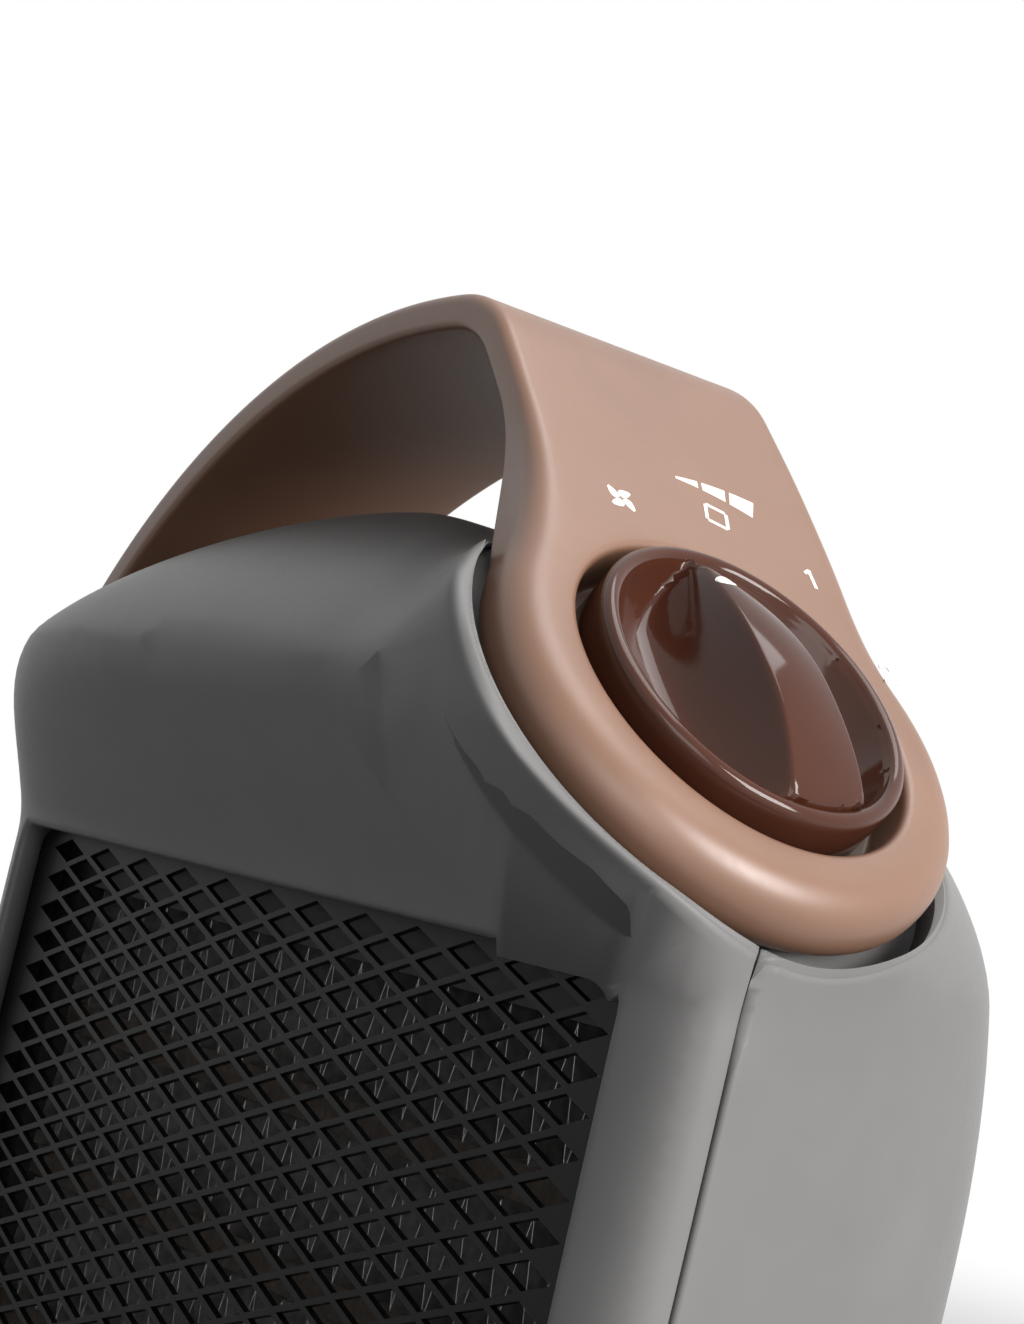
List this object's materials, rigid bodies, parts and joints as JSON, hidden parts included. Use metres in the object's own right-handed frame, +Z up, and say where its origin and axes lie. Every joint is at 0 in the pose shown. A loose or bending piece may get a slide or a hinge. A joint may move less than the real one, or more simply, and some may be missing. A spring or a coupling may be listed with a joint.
{
  "type": "fan heater",
  "caption": "Compact ceramic fan heater with a wide strap handle, a rotary knob on its right shoulder and an expanded-metal grille.",
  "frame": {"origin": "on the surface that the heater stands on, below the middle of its footprint", "axes": "+Z up, -Y the grille's side, +X the heater's right as a person facing it sees it"},
  "size_m": [0.2071, 0.1236, 0.24],
  "materials": {
    "shell_dark": "satin",
    "shell_light": "satin",
    "bronze": "satin",
    "knob": "gloss",
    "black_metal": "satin",
    "black_plastic": "matt",
    "base_black": "satin",
    "white_plastic": "satin",
    "rubber": "matt",
    "ceramic": "matt",
    "aluminium": "satin",
    "steel": "satin",
    "motor_metal": "satin"
  },
  "bodies": {
    "casing": {"front_shell": "shell_dark", "rear_shell": "shell_light", "handle": "bronze", "mesh_grille": "black_metal", "grille_frame": "black_plastic", "element_frame": "black_plastic", "heating_bars": "ceramic", "radiator_fins": "aluminium", "fan_duct": "black_plastic", "motor_bracket": "black_plastic", "motor_body": "motor_metal", "thermal_cutout": "steel", "base": "base_black", "rubber_feet": "rubber", "tip_switch": "black_plastic", "plunger_spring": "steel", "cord_gland": "rubber", "cord_clamp": "black_plastic", "terminal_block": "white_plastic", "switch_body": "black_plastic", "switch_bracket": "steel", "shell_screws": "steel", "base_screws": "steel", "handle_screws": "steel", "bracket_screws": "steel"},
    "dial": {"dial_knob": "knob", "switch_shaft": "white_plastic"},
    "fan": {"impeller": "black_plastic", "motor_shaft": "steel"},
    "plunger": {"tip_plunger": "white_plastic"}
  },
  "joints": [
    {"name": "dial_turn", "type": "hinge", "parent": "casing", "child": "dial", "pos_m": [0.0804, -0.0199, 0.1883], "axis": [-0.6984, 0, -0.7157], "range_deg": [-28, 56]},
    {"name": "fan_spin", "type": "hinge", "parent": "casing", "child": "fan", "pos_m": [0, 0.01, 0.094], "axis": [0, 1, 0], "continuous": true},
    {"name": "plunger_slide", "type": "slide", "parent": "casing", "child": "plunger", "axis": [0, 0, -1], "range_m": [0, 0.004], "stiffness_N_per_m": 60, "springref_m": 0.009, "deforming": ["plunger_spring"]}
  ]
}
